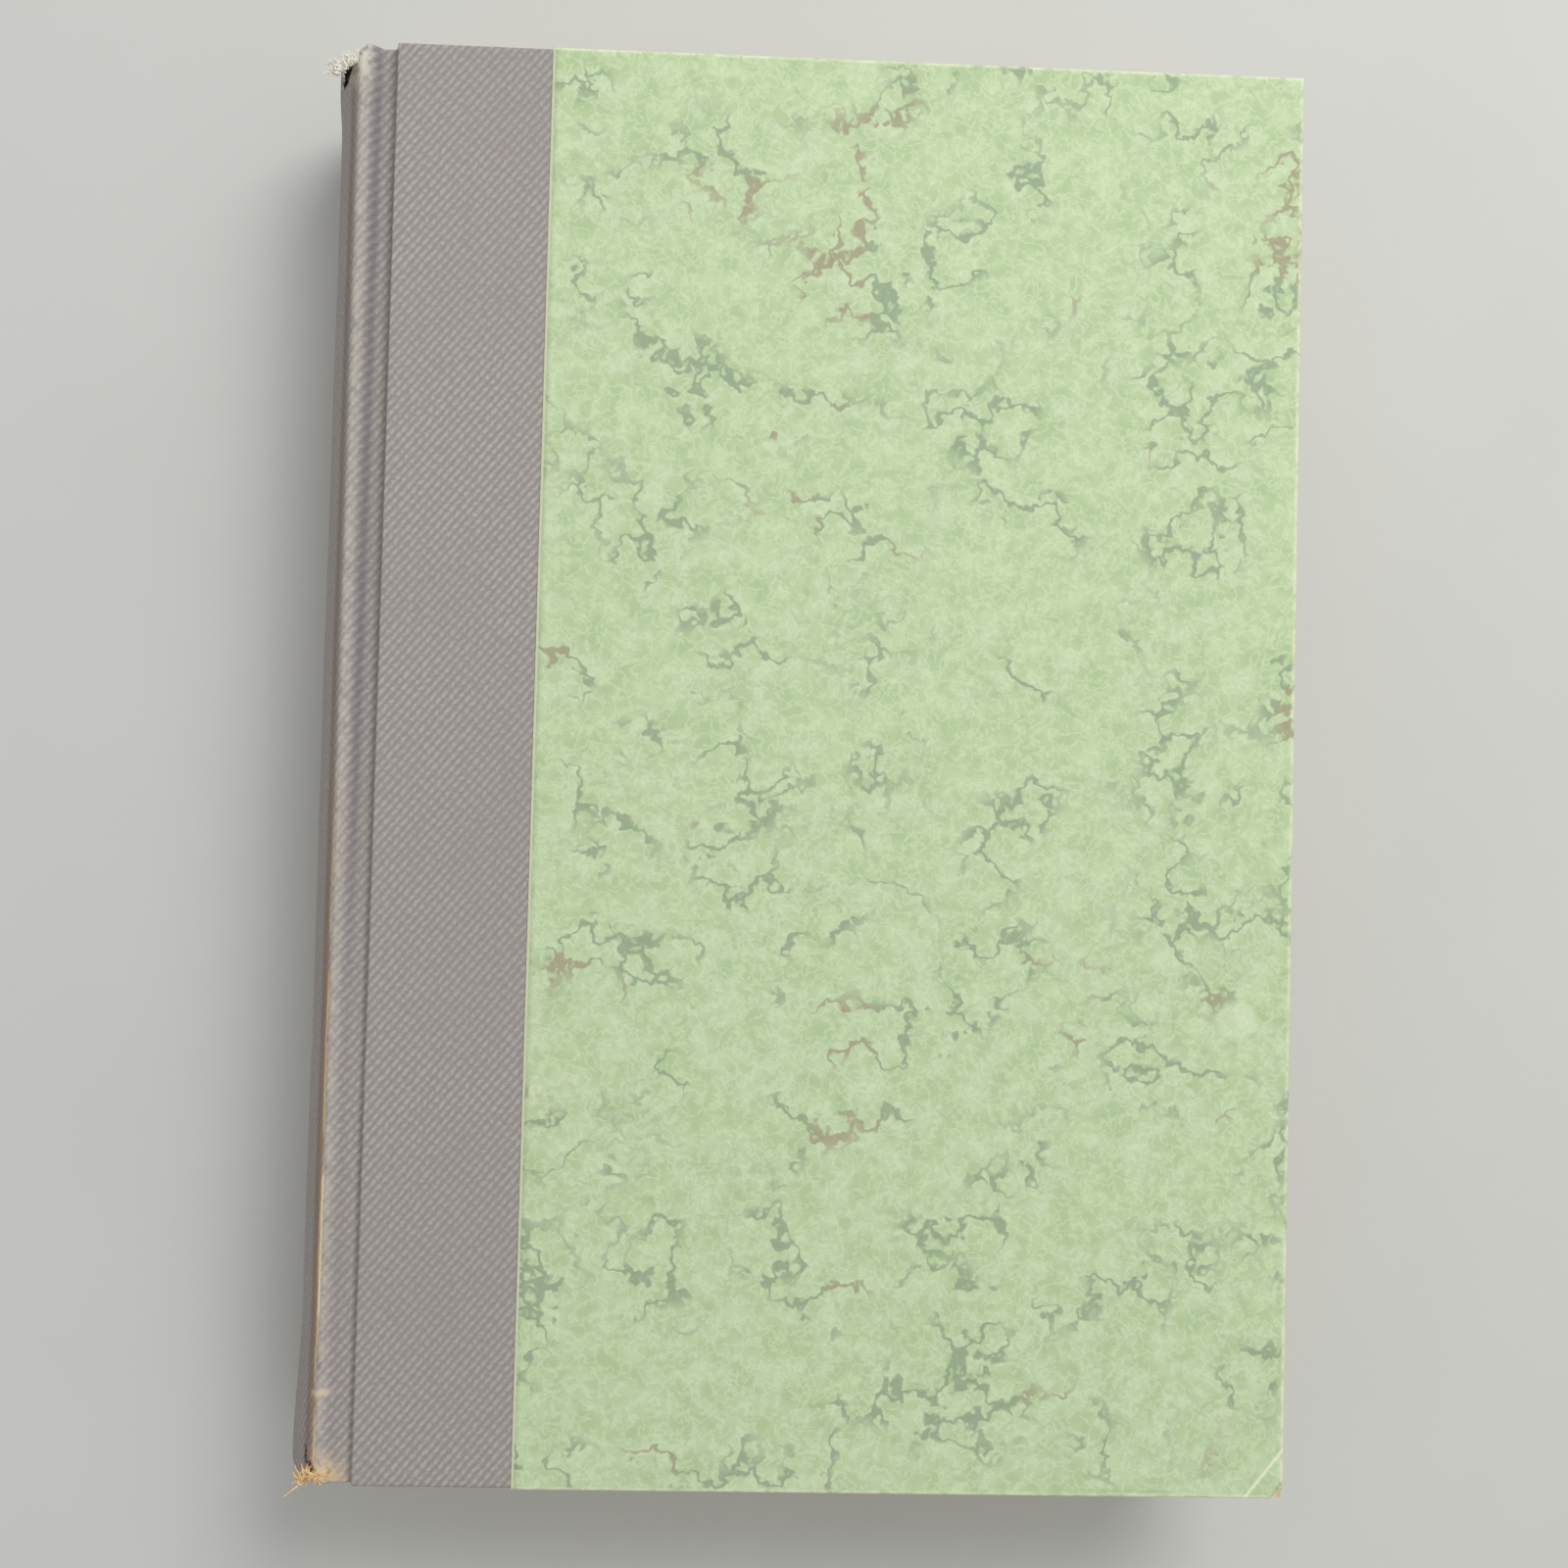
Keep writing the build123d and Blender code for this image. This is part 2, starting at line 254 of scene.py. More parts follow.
def cloth_grid(worn):
    """One half of the cloth, from the spine's middle to its edge on the front board."""
    s = stations((0, arc_length - 6, 1.1), (arc_length - 6, board_s + 0.8, 0.2), (board_s + 0.8, edge_s, 1.5))
    b_end = half_height + 20
    upper = stations((0, half_height - 9, 1.6), (half_height - 9, half_height + 4, 0.22),
                     (half_height + 4, b_end, 1.6))
    b = np.concatenate([-upper[:0:-1], upper])
    S, B = np.meshgrid(s, b, indexing="ij")
    size, side = np.abs(B), np.sign(B)
    on_board = smooth((S - board_s + 0.8) / 1.0)
    on_joint = smooth((S - crest_s + 0.5) / 2.0) * (1 - on_board)
    radius = cap_radius * (1 - on_joint - on_board) + joint_fold * on_joint + board_fold * on_board
    wall = 0.05 * (1 - on_board) + (cover_thick - paper_skin - paste_thick - 1.0) * on_board
    end = half_height - 0.2 - 0.35 * on_joint + 0.12 * wobble(S * side, 21, 17) * (1 - on_board)
    y, depth, back = fold(size, end, radius, wall)
    flap = spine_flap * (1 - on_joint) * (1 - on_board) + joint_flap * on_joint + board_flap * on_board
    y = y + np.maximum(back - flap, 0)
    relax = (1 - on_joint - on_board) * smooth(back / 4)
    depth = depth - relax * cap_relief
    Y = y * side
    X, Z = cloth_section(S, Y, worn)
    angle = np.minimum(S, arc_length) / spine_radius
    turn = smooth((S - arc_length + 2) / 3)
    nx, nz = -np.cos(angle) * (1 - turn), np.sin(angle) * (1 - turn) + turn
    size_n = np.hypot(nx, nz)
    X, Z = X - depth * nx / size_n, Z - depth * nz / size_n
    keep = np.ones((len(s) - 1, len(b) - 1), bool)
    sc, bc = (S[:-1, :-1] + S[1:, 1:]) / 2, (B[:-1, :-1] + B[1:, 1:]) / 2
    back_c = (back[:-1, :-1] + back[1:, 1:]) / 2
    flap_c = (flap[:-1, :-1] + flap[1:, 1:]) / 2
    keep &= back_c <= flap_c
    if worn:
        rag = 0.45 * wobble(sc * 3 + bc, 5, 5, 7) + 0.3 * wobble(bc * 2.3 - sc, 6, 2.1, 5)
        tear_line = half_height - 6.2 + 6.0 * smooth((sc - crest_s + 5.2) / 6.8)
        keep &= ~((bc > tear_line + rag) & (sc > arc_length - 9 + rag) & (sc < crest_s + 1.5))
        hole = np.hypot((sc - crest_s + 2.0) / 1.25, (bc + half_height - 2.7) / 1.1) + rag * 0.5
        split_s = sc - crest_s + 3.6
        split = np.hypot(split_s / 0.75, (bc + half_height - 4.6 - 0.6 * split_s) / 1.9) + rag * 0.4
        frayed_end = (bc < -half_height + 0.9 + 1.6 * rag) & (np.abs(sc - crest_s + 2.2) < 2.8)
        keep &= ~((hole < 1) | (split < 0.8) | frayed_end)
    return np.stack([X, Y, Z], -1), np.stack([S, B], -1), keep


def turned_over(grid):
    """The mirror image of a grid in the book's mid-thickness."""
    place, cloth, keep = grid
    return place * [1, 1, -1] + [0, 0, thick], cloth * [-1, 1], keep


cloth_front = piece("book_cloth_front", [cloth_grid(1.0)], cloth_thick)
cloth_back = piece("book_cloth_back", [turned_over(cloth_grid(0.0))], cloth_thick, flip=True)

# %% [markdown]
# The side paper is one sheet on each board. It laps the cloth a little, is drawn round three edges of the
# board and is turned in behind them, mitred at the two corners. One grid folded both ways would crumple at a
# corner, so the face and walls are one grid with the corner's cells left out, and each turn-in is a grid that
# starts on the wall's last row and narrows at the mitre.

# %% The side papers
paper_round = 0.45
paper_wall = cover_thick - paste_thick - 2 * paper_round
turn_in = 14.0


def paper_grids(worn):
    """The front side paper. Depth below the face is the greater of the folds over fore edge and end."""
    lap = paper_low[0]
    quarter = paper_round * np.pi / 2
    round_over = np.linspace(0, quarter, 6)
    wall = np.linspace(0, paper_wall, 5)[1:]
    skirt = np.concatenate([round_over, quarter + wall])
    p = np.concatenate([np.linspace(lap, fore_x - 6, 90)[:-1],
                        np.linspace(fore_x - 6, fore_x - paper_round, 24)[:-1],
                        fore_x - paper_round + skirt])
    near = np.concatenate([np.linspace(0, half_height - 6, 80)[:-1],
                           np.linspace(half_height - 6, half_height - paper_round, 24)[:-1],
                           half_height - paper_round + skirt])
    q = np.concatenate([-near[:0:-1], near])
    P, Q = np.meshgrid(p, q, indexing="ij")
    x, deep_x, _ = fold(P, fore_x, paper_round, paper_wall)
    y, deep_y, _ = fold(np.abs(Q), half_height, paper_round, paper_wall)
    y = y * np.sign(Q)
    depth = np.maximum(deep_x, deep_y)
    blister = bell(np.hypot((x - fore_x + 25) / 8.5, (y + half_height + 2.0) / 4.5), 0.85, 0.28)
    crease = bell(x - fore_x + 6.5 - (y + half_height) * 0.8, 0, 0.5) * (y < -half_height + 9)
    lift = worn * (0.16 * blister * (y > -half_height + 1) - 0.12 * crease)
    z = thick - depth + np.where(depth < 0.01, np.minimum(lift, 0.16), 0)
    cell_x = np.minimum(deep_x[:-1, :-1], deep_x[1:, 1:]) >= paper_round - 0.001
    cell_y = np.minimum(deep_y[:-1, :-1], deep_y[1:, 1:]) >= paper_round - 0.001
    keep = ~(cell_x & cell_y)
    grids = [(np.stack([x, y, z], -1), np.stack([P, Q], -1), keep)]
    t = np.concatenate([np.linspace(0, quarter, 5), quarter + np.linspace(0, turn_in, 12)[1:]])
    turn = np.clip(t / quarter, 0, 1) * np.pi / 2
    inward = paper_round * (1 - np.cos(turn)) + np.maximum(t - quarter, 0)
    sunk = paper_round + paper_wall + paper_round * np.sin(turn)
    column = y[0]
    side_y = column[np.abs(column) <= half_height][None, :] * (1 - inward / half_height)[:, None]
    grids.append((np.stack([np.broadcast_to(fore_x - inward[:, None], side_y.shape), side_y,
                            np.broadcast_to(thick - sunk[:, None], side_y.shape)], -1),
                  np.stack([np.broadcast_to((fore_x + t)[:, None], side_y.shape), side_y], -1), None))
    span = fore_x - lap
    end_x = lap + (x[:, 0] - lap)[:, None] * (1 - inward / span)[None, :]
    for side in (1, -1):
        end_y = np.broadcast_to(side * (half_height - inward)[None, :], end_x.shape)
        end_z = np.broadcast_to((thick - sunk)[None, :], end_x.shape)
        spot = np.stack([end_x, end_y, end_z], -1)
        grids.append((spot if side > 0 else spot[:, ::-1], np.stack([end_x, end_y], -1), None))
    cleaned = []
    for place, cloth, kept in grids:
        kept = np.ones((place.shape[0] - 1, place.shape[1] - 1), bool) if kept is None else kept
        centre = (place[:-1, :-1] + place[1:, 1:]) / 2
        rag = 0.12 * wobble(centre[..., 0] * 2 - centre[..., 1], 31, 1.6)
        bare = (fore_x - centre[..., 0]) / 2.2 + (centre[..., 1] + half_height) / 3.2 < 1 + rag
        cleaned.append((place, cloth, kept & ~(bare & (worn > 0))))
    return cleaned


paper_front = piece("side_paper_front", paper_grids(1.0), paper_skin)
paper_back = piece("side_paper_back", [turned_over(g) for g in paper_grids(0.0)], paper_skin, flip=True)

# %% [markdown]
# An endpaper is a folded sheet. One leaf is pasted down inside the board, over the turn-ins, and the fold
# goes on over the joint to the first leaf of the block. It is made as a flat sheet with close rows at the
# joint, where it would bend when the cover opens.

# %% The endpapers
fold_x = fly_low[0] + 0.3


def endpaper_grid():
    """A flat sheet on the inner face of the front cover, from the joint's fold to the fore edge."""
    x = stations((fold_x, board_x + 1, 0.25), (board_x + 1, paste_high[0], 4))
    y = stations((paste_low[1], paste_high[1], 4))
    X, Y = np.meshgrid(x, y, indexing="ij")
    place = np.stack([X, Y, np.full_like(X, thick - cover_thick)], -1)
    return place, np.stack([X, Y], -1), None


endpaper_front = piece("endpaper_front", [endpaper_grid()], paste_thick, flip=True)
endpaper_back = piece("endpaper_back", [turned_over(endpaper_grid())], paste_thick)

# %% [markdown]
# The leaves are a rounded and backed block: the spine side bulges, the fore edge is hollow by about as much,
# and the outermost sections are bent over into shoulders that the boards rest against. Each row of the grid
# is moved a little, as trimmed leaves are never quite level.

# %% The leaves
leaf_back, shoulder_foot = block_low[0], block_low[0] + 6.6
leaf_radius = axis_x - leaf_back
leaf_bottom = fly_high[2]
leaf_rise = middle - leaf_bottom
tip_rise = middle - block_low[2]
leaf_half = block_high[1]
fore_hollow = 4.5


def swept(x, reach, z, y):
    """A profile of points (x, z) carried along the height, from -reach to reach at each point."""
    across, up = np.repeat(x[:, None], len(y), 1), np.repeat(z[:, None], len(y), 1)
    return np.stack([across, reach[:, None] * y, up], -1)


def leaf_grids():
    """The block's faces: back arc x = axis - sqrt(R^2 - h^2), hollow fore edge, two flats, two shoulders."""
    rng = np.random.default_rng(4)
    y = np.linspace(-1, 1, 41)
    h = np.linspace(-leaf_rise, leaf_rise, 181)
    stray = rng.normal(0, 0.035, len(h))
    stray[[0, -1]] = 0
    reach = leaf_half - 0.12 + np.clip(rng.normal(0, 0.035, len(h)), -0.1, 0.1)
    reach[[0, -1]] = leaf_half - 0.12
    arc = axis_x - np.sqrt(leaf_radius ** 2 - h ** 2)
    fore = block_high[0] - fore_hollow * (1 - (h / leaf_rise) ** 2) - 0.1 + stray
    grids = [(swept(fore, reach, middle + h, y), True), (swept(arc, reach, middle + h, y), False)]
    inner = np.linspace(0, 1, 4)
    outer = np.linspace(0, 1, 31)[1:]
    across = np.concatenate([arc[:, None] + (shoulder_foot - arc)[:, None] * inner,
                             shoulder_foot + (fore - shoulder_foot)[:, None] * outer], 1)
    for side in (1, -1):
        end = np.stack([across, np.broadcast_to(side * reach[:, None], across.shape),
                        np.broadcast_to(middle + h[:, None], across.shape)], -1)
        grids.append((end, side < 0))
    k = np.linspace(0, 1, 7)
    for side in (1, -1):
        rise = leaf_rise + (tip_rise - leaf_rise) * k
        outer_x = axis_x - np.sqrt(leaf_radius ** 2 - rise ** 2)
        slope_x = shoulder_foot + (outer_x[-1] - shoulder_foot) * k
        full = np.full_like(k, leaf_half - 0.12)
        z = middle + side * rise
        grids += [(swept(outer_x, full, z, y), side < 0), (swept(slope_x, full, z, y), side > 0)]
        flat_x = across[-1 if side > 0 else 0, 3:]
        flat = swept(flat_x, np.full_like(flat_x, full[0]), np.full_like(flat_x, z[0]), y)
        grids.append((flat, side > 0))
        wedge_x = outer_x[:, None] + (slope_x - outer_x)[:, None] * inner
        for head in (1, -1):
            wedge_y = np.full_like(wedge_x, head * full[0])
            wedge = np.stack([wedge_x, wedge_y, np.repeat(z[:, None], 4, 1)], -1)
            grids.append((wedge, (head < 0) == (side > 0)))
    turned = [grid if straight else grid[:, ::-1] for grid, straight in grids]
    return [(grid, grid[..., :2], None) for grid in turned]


leaves = piece("leaves", leaf_grids(), weld=0.004)

# %% [markdown]
# Where the cloth has worn through, loose threads stick out. Hair would not export as a piece, so each thread
# is a thin tube that closes to a point at both ends and bends a little. They ride on the block, and those at
# the head reach into the front board when that cover is opened.


# %% Frayed threads
def threads(name, roots, aims, lengths, radius, seed):
    """Bent tubes: centre = root + aim * length * t + bend * t^2, closed to a point at both ends.

    The radius at t is the given one times the square root of sin(pi (0.8 t + 0.2)), so it thins outwards."""
    rng = np.random.default_rng(seed)
    count = len(roots)
    t = np.linspace(0, 1, 9)
    turn = np.linspace(0, 2 * np.pi, 7)
    aims = aims / np.linalg.norm(aims, axis=1, keepdims=True)
    bend = rng.normal(0, 0.35, (count, 3)) * lengths[:, None]
    line = roots[:, None] + aims[:, None] * lengths[:, None, None] * t[None, :, None]
    line = line + bend[:, None] * (t ** 2)[None, :, None]
    side = np.cross(aims, [0.3, 0.2, 0.93])
    side = side / np.linalg.norm(side, axis=1, keepdims=True)
    other = np.cross(aims, side)
    wide = radius * np.sqrt(np.sin(np.pi * np.clip(t * 0.8 + 0.2, 0, 1)) * (t < 1) * (t > 0))
    ring = (side[:, None, None] * np.cos(turn)[None, None, :, None]
            + other[:, None, None] * np.sin(turn)[None, None, :, None])
    tubes = line[:, :, None] + ring * wide[None, :, None, None]
    return piece(name, [(tube[:, ::-1], tube[:, ::-1, :2], None) for tube in tubes])


def fray(name, low, high, height, aim, spread, count, longest, seed):
    """Threads rooted at random between two points on the cloth, at a height, leaning towards aim."""
    rng = np.random.default_rng(seed)
    place = rng.random((count, 1))
    roots = np.array(low) + (np.array(high) - np.array(low)) * place + rng.normal(0, 0.35, (count, 2))
    roots = np.column_stack([roots, np.full(count, height) + rng.normal(0, 0.15, count)])
    aims = np.array(aim) + rng.normal(0, spread, (count, 3)) * [1, 1, 0.35]
    return threads(name, roots, aims, longest * rng.uniform(0.35, 1, count), 0.14, seed)


head_fray = fray("head_fray", (ridge_x - 4.4, half_height - 5.6), (ridge_x - 0.8, half_height - 3.0),
                 thick - 0.9, (-0.7, 0.7, -0.1), 0.35, 90, 2.6, 11)
tail_fray = fray("tail_fray", (ridge_x - 3.4, -half_height + 1.2), (ridge_x + 0.6, -half_height + 1.6),
                 thick - 0.45, (0.3, 0.5, 0.0), 0.9, 120, 1.9, 12)

# %% [markdown]
# A finish could be built by hand in the node editor, but dozens of Math nodes are hard to read there. A small
# class writes them as ordinary arithmetic, so that a finish is a few lines: a pattern, its colours, and how
# much of each shows where.


# %% Shader arithmetic
class Value:
    """A number at each point of a surface, as a socket or a constant."""

    tree = None

    def __init__(self, socket):
        self.socket = socket

    @staticmethod
    def node(kind, inputs=(), output=0, **settings):
        """Adds a node, sets it and its inputs, and returns one of its outputs."""
        made = Value.tree.nodes.new(kind)
        for key, setting in settings.items():
            setattr(made, key, setting)
        for key, given in dict(inputs).items():
            if isinstance(given, Value):
                Value.tree.links.new(given.socket, made.inputs[key])
            else:
                made.inputs[key].default_value = given
        return Value(made.outputs[output])

    def reckon(self, other, operation, turned=False):
        """A Math node on this value and another, in either order."""
        first, second = (other, self) if turned else (self, other)
        return Value.node("ShaderNodeMath", {0: first, 1: second}, operation=operation)

    def __add__(self, other):
        return self.reckon(other, "ADD")

    def __sub__(self, other):
        return self.reckon(other, "SUBTRACT")

    def __mul__(self, other):
        return self.reckon(other, "MULTIPLY")

    def __rsub__(self, other):
        return self.reckon(other, "SUBTRACT", True)

    __radd__, __rmul__ = __add__, __mul__

    def step(self, low, high):
        """0 below low, 1 above high and smooth between."""
        return Value.node("ShaderNodeMapRange", {0: self, 1: low, 2: high, 3: 0.0, 4: 1.0},
                          interpolation_type="SMOOTHSTEP")

    def near(self, centre, width):
        """1 at centre, fading to 0 at width on either side."""
        return 1 - (self - centre).reckon(0, "ABSOLUTE").step(0.0, width)

    def wave(self):
        """The sine of this value."""
        return self.reckon(0, "SINE")


def linear(colour):
    """A written 0-255 colour as the light it stands for."""
    return tuple(((c / 255 + 0.055) / 1.055) ** 2.4 for c in colour) + (1.0,)


def blend_colours(share, first, second):
    """The first colour where share is 0 and the second where it is 1."""
    pair = {6: first if isinstance(first, Value) else linear(first),
            7: second if isinstance(second, Value) else linear(second)}
    return Value.node("ShaderNodeMix", {0: share, **pair}, 2, data_type="RGBA")


def noise(place, scale, detail=3.0, rough=0.55):
    """Soft noise of about 0.5, with the given number of blotches to the millimetre."""
    return Value.node("ShaderNodeTexNoise", {"Vector": place, "Scale": scale, "Detail": detail,
                                             "Roughness": rough})


def split(vector):
    """The three parts of a vector as numbers."""
    return [Value.node("ShaderNodeSeparateXYZ", {0: vector}, k) for k in range(3)]


def stretched(vector, factors):
    """A vector with each part multiplied by its own factor."""
    return Value.node("ShaderNodeVectorMath", {0: vector, 1: factors}, operation="MULTIPLY")


def begin(name):
    """Starts a material and returns it with its place in millimetres."""
    made = bpy.data.materials.new(name)
    made.use_nodes = True
    Value.tree = made.node_tree
    place = Value.node("ShaderNodeTexCoord", output=3)
    return made, stretched(place, (1000, 1000, 1000))


def close(made, colour, rough, height=None, lift=0.05):
    """Joins the colour, roughness and bump height in millimetres to the surface."""
    shader = made.node_tree.nodes["Principled BSDF"]
    links = made.node_tree.links
    links.new(colour.socket, shader.inputs["Base Color"])
    if isinstance(rough, Value):
        links.new(rough.socket, shader.inputs["Roughness"])
    else:
        shader.inputs["Roughness"].default_value = rough
    shader.inputs["Specular IOR Level"].default_value = 0.25
    if height is not None:
        bump = Value.node("ShaderNodeBump", {"Height": height, "Distance": lift * MM, "Strength": 1.0})
        links.new(bump.socket, shader.inputs["Normal"])
    print(made.name, len(made.node_tree.nodes), "nodes")
    return made


# %% [markdown]
# Book cloth: a grey cotton twill, dyed unevenly, whose threads show as short pale dashes in slanting rows.
# Along the ridge the cloth is browned by wear and darkened by painted shade where the spine falls away, the
# crest carries a patchy painted highlight and the slope down into the groove a painted shade; towards the
# tail and at the ends the dye has rubbed off and the brown and cream of the filler shows.

# %% Book cloth
cloth_mat, place = begin("book cloth")
weave = stretched(Value.node("ShaderNodeUVMap", uv_map="weave"), (100, 100, 100))
across, along, _ = split(weave)
warp = noise(weave, 0.9, 2.0) - 0.5
slant = along * 0.64 - across * 0.77
thread = (slant * 5.6 + warp * 3.0).wave() * 0.5 + 0.5
dash = (across * 2.4 + along * 2.9 + noise(weave, 0.8) * 11.0).wave() * 0.5 + 0.5
grain = noise(weave, 1.6, 4.0, 0.65)
twill = thread * 0.3 + dash * thread * 0.35 + grain * 0.7
colour = blend_colours(twill.step(0.25, 1.05), (148, 141, 138), (180, 174, 169))
broad = noise(weave, 0.03, 3.0)
colour = blend_colours(broad.step(0.35, 0.7) * 0.3, colour, (154, 147, 143))
past = across - crest_s
front = across.step(8.0, 11.0)
low_part = 1 - along.step(-45.0, 5.0)
wear_and_highlight_noise = noise(weave, 0.35, 4.0, 0.7)
# Partly brown wear and partly painted shade: a band on the side of the ridge where the spine falls away.
colour = blend_colours(past.near(-2.9, 2.2) * front * 0.6, colour, (124, 104, 88))
# Painted highlight along the ridge's crest, broken up by the wear noise.
colour = blend_colours(past.near(-0.1, 1.5) * front * wear_and_highlight_noise.step(0.3, 0.62) * 0.55, colour, (205, 198, 186))
# Painted shade on the slope down into the groove, weaker towards the tail.
colour = blend_colours(past.near(2.2, 1.3) * front * (1 - low_part * 0.7) * 0.5, colour, (104, 102, 110))
orange = past.near(-1.8, 1.7) * front * low_part * wear_and_highlight_noise.step(0.42, 0.6)
colour = blend_colours(orange * 0.75, colour, (176, 132, 92))
line_place = -1.1 + (noise(weave, 0.08) - 0.5) * 1.6
line = past.near(line_place, 0.42) * front * low_part * noise(weave, 0.05).step(0.4, 0.5)
colour = blend_colours(line, colour, (240, 205, 150))
slit = past.near(-0.8, 0.36) * along.near(-79.0, 13.0).step(0.0, 0.1)
colour = blend_colours(slit * front, colour, (246, 232, 196))
scuff = (along + 102.5 - past * 0.12).near(0.0, 1.0) * past.near(-0.2, 3.2) * wear_and_highlight_noise.step(0.3, 0.5) * front
colour = blend_colours(scuff * 0.9, colour, (226, 204, 176))
pale_end = (along * -1).step(half_height - 7, half_height - 2) * past.near(0.5, 5.5)
pale_end = pale_end * wear_and_highlight_noise.step(0.35, 0.55) * front
colour = blend_colours(pale_end * 0.8, colour, (232, 205, 160))
head_wear = along.step(half_height - 9, half_height - 3) * past.near(-1.5, 5.0) * wear_and_highlight_noise.step(0.35, 0.55) * front
colour = blend_colours(head_wear * 0.8, colour, (228, 222, 205))
close(cloth_mat, colour, 0.82, twill + grain * 0.4, 0.09)

# %% [markdown]
# Side paper: a common vein-mottled decorative paper, pale green. Dye floated in thin size leaves soft wormy
# fibres everywhere and sparse darker veins in clusters. Its cut and rubbed edges are paler.

# %% Side paper
paper_mat, place = begin("mottled paper")
x_mm, y_mm, z_mm = split(place)
bent = Value.node("ShaderNodeVectorMath", {0: place, 1: stretched(
    Value.node("ShaderNodeTexNoise", {"Vector": place, "Scale": 0.35, "Detail": 2.0}, 1), (3.2, 3.2, 3.2))},
    operation="ADD")
worm = 1 - (noise(bent, 0.5, 2.0) - 0.5).reckon(0, "ABSOLUTE").step(0.0, 0.075)
vein_field = noise(bent, 0.11, 3.0, 0.55)
vein = 1 - (vein_field - 0.5).reckon(0, "ABSOLUTE").step(0.010, 0.036)
cluster = noise(place, 0.055, 2.0).step(0.46, 0.58)
speck = noise(bent, 0.6, 3.0).step(0.6, 0.68) * cluster
mottle = noise(place, 0.22, 4.0, 0.6)
green = blend_colours(mottle.step(0.3, 0.7), (178, 200, 152), (198, 216, 174))
green = blend_colours(worm * 0.4, green, (220, 232, 200))
green = blend_colours(speck * 0.35, green, (164, 182, 146))
brown = noise(place, 0.04, 1.0).step(0.55, 0.62)
vein_colour = blend_colours(brown, (140, 158, 132), (160, 146, 122))
green = blend_colours(vein * cluster * 0.75, green, vein_colour)
cut = 1 - (x_mm - paper_low[0]).step(0.3, 0.5)
rubbed = x_mm.step(fore_x - 0.9, fore_x - 0.3)
rubbed = rubbed + y_mm.reckon(0, "ABSOLUTE").step(half_height - 0.8, half_height - 0.3)
green = blend_colours(cut * 0.9, green, (240, 244, 206))
green = blend_colours(rubbed * noise(place, 0.5).step(0.3, 0.6) * 0.55, green, (238, 238, 210))
spot_x, spot_y = x_mm - (fore_x - 9), y_mm + 40
spot = 1 - (spot_x * spot_x + spot_y * spot_y).step(6.0, 14.0)
green = blend_colours(spot * z_mm.step(middle, middle + 1) * 0.35, green, (228, 240, 208))
fold_line = (x_mm - fore_x + 6.5 - (y_mm + half_height) * 0.8).near(0.0, 0.6)
fold_line = fold_line * (1 - y_mm.step(-half_height + 8, -half_height + 9)) * z_mm.step(middle, middle + 1)
green = blend_colours(fold_line * 0.8, green, (240, 240, 212))
close(paper_mat, green, 0.62 + mottle * 0.12, worm * 0.5 + mottle, 0.03)

# %% [markdown]
# The plain materials: aged cream leaves whose edges show as fine lines, card, kraft paper, muslin and twine.


# %% Plain materials
def fibrous(name, dark, light, scales, rough=0.85, lift=0.04):
    """Two tones mixed by noise that is stretched along one direction, as fibres or layers are."""
    made, where = begin(name)
    fibre = noise(stretched(where, scales), 1.0, 4.0, 0.6)
    patch = noise(where, 0.06, 2.0)
    tone = blend_colours((fibre * 0.75 + patch * 0.25).step(0.35, 0.65), dark, light)
    return close(made, tone, rough, fibre, lift)


leaf_mat = fibrous("leaf edges", (206, 194, 164), (236, 228, 206), (0.05, 0.05, 7.0), 0.9, 0.08)
end_mat = fibrous("endpaper", (226, 218, 196), (238, 232, 214), (0.8, 0.3, 0.8))
board_mat = fibrous("millboard", (196, 182, 150), (226, 214, 184), (1.2, 0.9, 2.4))
muslin_mat = fibrous("muslin", (206, 198, 178), (232, 226, 208), (2.5, 2.5, 2.5))
kraft_mat = fibrous("kraft paper", (150, 118, 84), (174, 142, 106), (1.5, 0.3, 1.5))
card_mat = fibrous("inlay card", (150, 140, 122), (178, 168, 148), (1.0, 1.0, 1.0))
twine_mat = fibrous("twine", (206, 190, 156), (240, 228, 200), (1.2, 3.0, 1.2))
head_mat = fibrous("pale threads", (214, 208, 192), (250, 246, 234), (1.5, 1.5, 1.5))
tail_mat = fibrous("brown threads", (196, 146, 96), (250, 222, 172), (0.9, 0.9, 0.9))

# %% [markdown]
# New pieces get a finish. The imported model's own nodes keep their shape and only change their material.

# %% Finishes
for thing, finish, slot in [
        (cloth_front, cloth_mat, "book_cloth"), (cloth_back, cloth_mat, "book_cloth"),
        (paper_front, paper_mat, "cover_paper"), (paper_back, paper_mat, "cover_paper"),
        (endpaper_front, end_mat, "endpaper"), (endpaper_back, end_mat, "endpaper"),
        (leaves, leaf_mat, "leaves"),
        (head_fray, head_mat, "book_cloth"), (tail_fray, tail_mat, "book_cloth")]:
    thing.data.materials.append(finish)
for node, finish in {"front_flyleaf": end_mat, "back_flyleaf": end_mat,
                     "mull": muslin_mat, "spine_lining": kraft_mat, "spine_inlay": card_mat,
                     "head_cord": twine_mat, "tail_cord": twine_mat,
                     "front_board": board_mat, "back_board": board_mat}.items():
    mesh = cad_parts[node].data
    mesh.materials.clear()
    mesh.materials.append(finish)
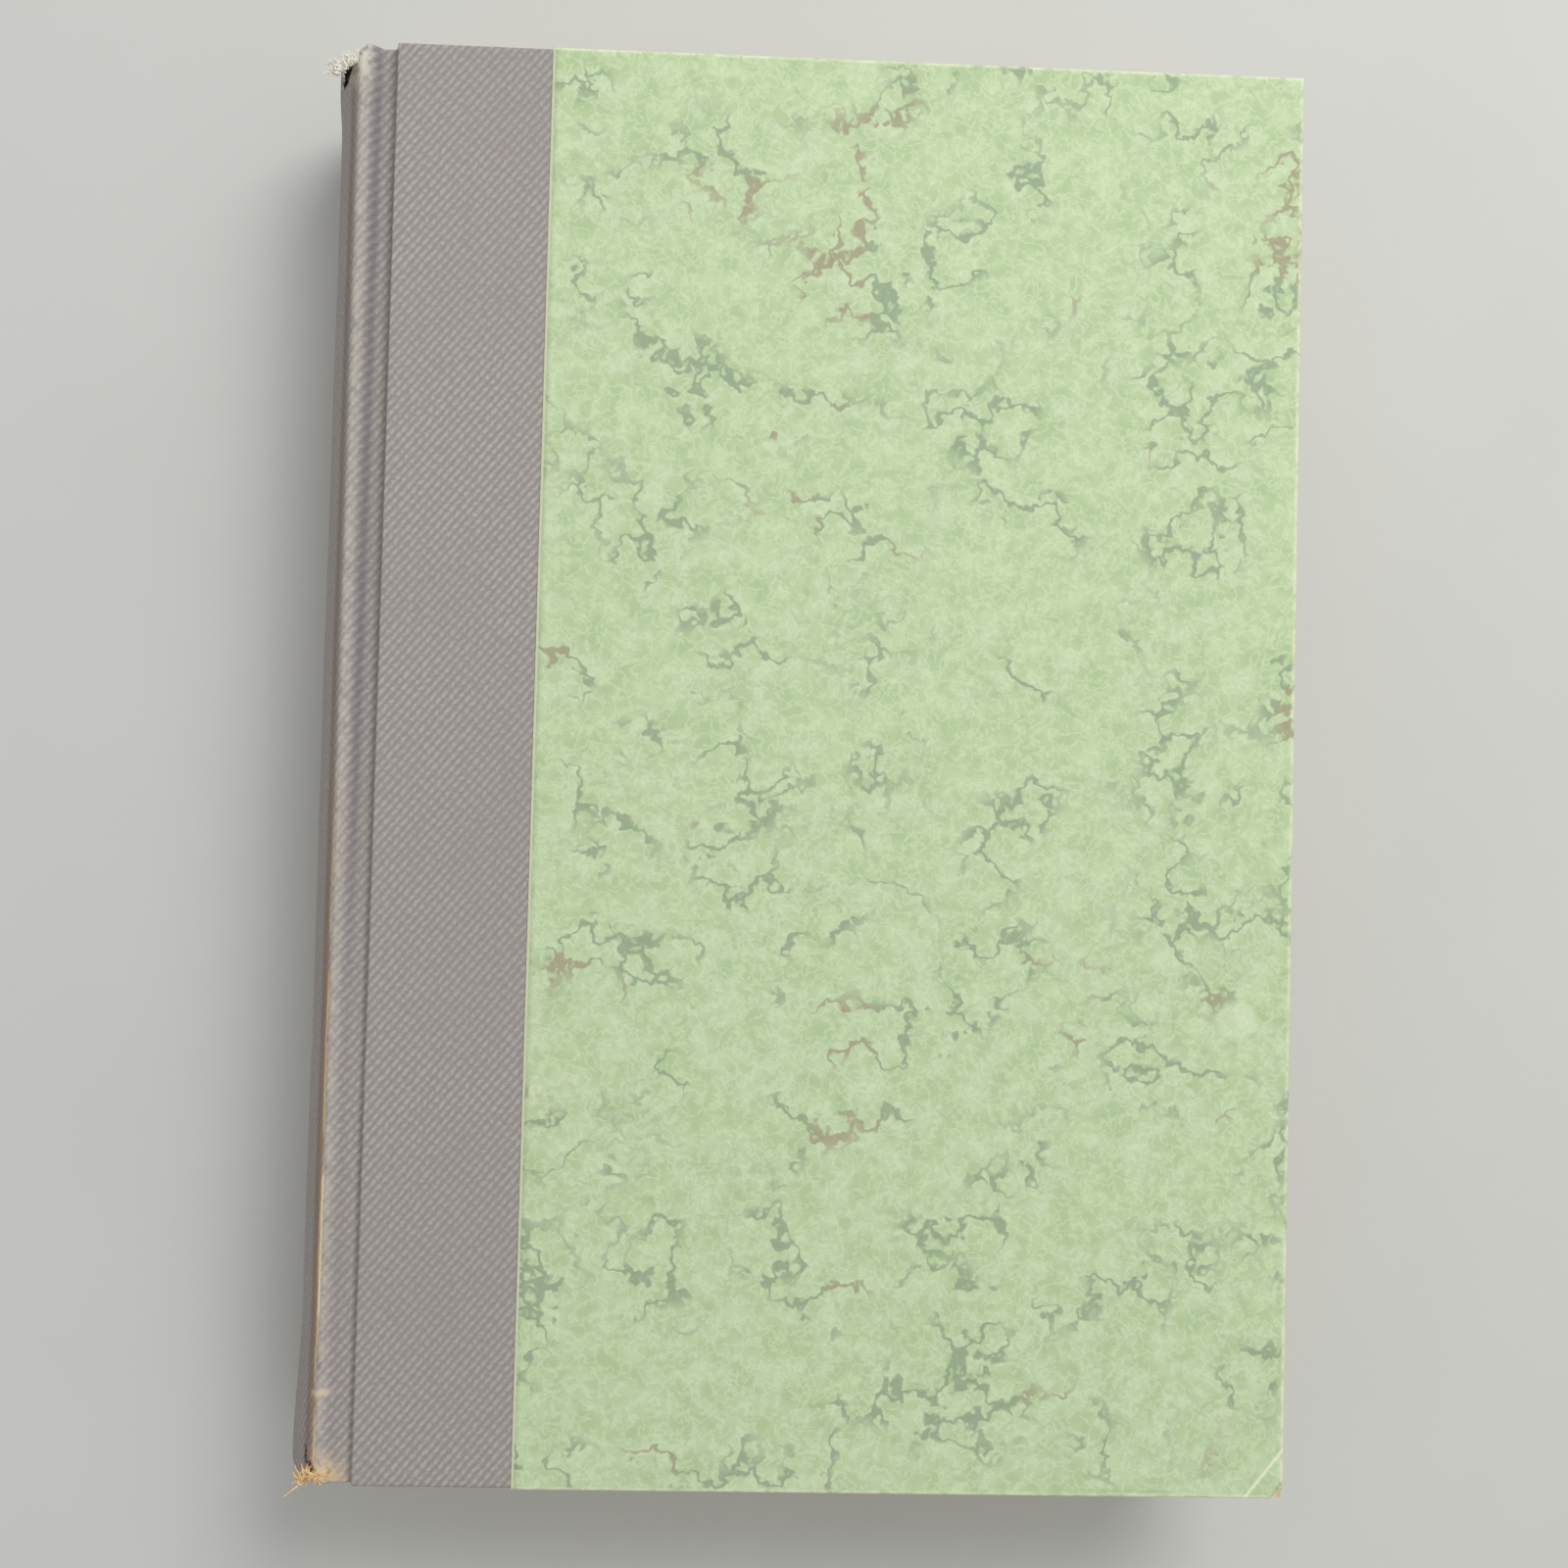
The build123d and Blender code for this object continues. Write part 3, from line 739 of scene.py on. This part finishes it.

# %% [markdown]
# How the pieces move: each cover turns about its joint. The side papers ride on their covers and the leaves
# and threads on the block; the cloth and the endpapers that cross the joints are only set in place, and the
# model's pieces that the new ones stand in for are hidden.

# %% Riding and replacing
for side, cloth, paper, endpaper, level in [("front", cloth_front, paper_front, endpaper_front, thick),
                                            ("back", cloth_back, paper_back, endpaper_back, 0.0)]:
    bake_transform(cloth)
    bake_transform(endpaper)
    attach(paper, side + "_cover")
    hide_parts("spine_cloth", side + "_cover_cloth")
    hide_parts(side + "_cover_paper")
    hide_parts(side + "_pastedown")
for thing in (leaves, head_fray, tail_fray):
    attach(thing, "book_block")
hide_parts("text_block")
flat_width, flat_length = edge_s * MM, 2 * (half_height + 14) * MM

# %% [markdown]
# The book lies on its back cover on a pale table, seen from above. An even white world keeps colours close to
# how they are written, and one soft square lamp above the head's fore corner gives the edges a little shade.

# %% Floor, light and camera
floor_mesh = bpy.data.meshes.new("floor")
floor_mesh.from_pydata([(-2, -2, 0), (2, -2, 0), (2, 2, 0), (-2, 2, 0)], [], [(0, 1, 2, 3)])
floor = bpy.data.objects.new("floor", floor_mesh)
bpy.context.scene.collection.objects.link(floor)
floor_mat, place = begin("pale table")
close(floor_mat, blend_colours(noise(place, 0.02, 3.0), (204, 204, 200), (210, 210, 206)), 0.9)
floor_mesh.materials.append(floor_mat)
world = bpy.data.worlds.new("studio")
world.use_nodes = True
world.node_tree.nodes["Background"].inputs[0].default_value = (1, 1, 1, 1)
world.node_tree.nodes["Background"].inputs[1].default_value = 0.55
bpy.context.scene.world = world


def lamp(name, place, aim, size, power):
    """A soft square lamp turned towards a point, in metres and watts."""
    light = bpy.data.lights.new(name, "AREA")
    light.size, light.energy = size, power
    thing = bpy.data.objects.new(name, light)
    bpy.context.scene.collection.objects.link(thing)
    thing.location = place
    thing.rotation_euler = (Vector(aim) - Vector(place)).to_track_quat("-Z", "Y").to_euler()


lamp("key", (0.35, 0.55, 0.8), (0, 0, 0.03), 0.5, 6.0)
eye = bpy.data.cameras.new("camera")
eye.lens, eye.sensor_width = 45.0, 36.0
camera = bpy.data.objects.new("camera", eye)
bpy.context.scene.collection.objects.link(camera)
camera.location = (-0.0162, -0.0149, cad_box[1].z + 0.3197)
camera.rotation_mode = "ZXY"
turn = Matrix.Rotation(math.radians(1.51), 4, "Z") @ Matrix.Rotation(math.radians(2.06), 4, "X")
turn = turn @ Matrix.Rotation(math.radians(-2.39), 4, "Y")
camera.rotation_mode = "XYZ"
camera.rotation_euler = turn.to_euler("XYZ")
bpy.context.scene.camera = camera
bpy.context.scene.view_settings.view_transform = "Standard"
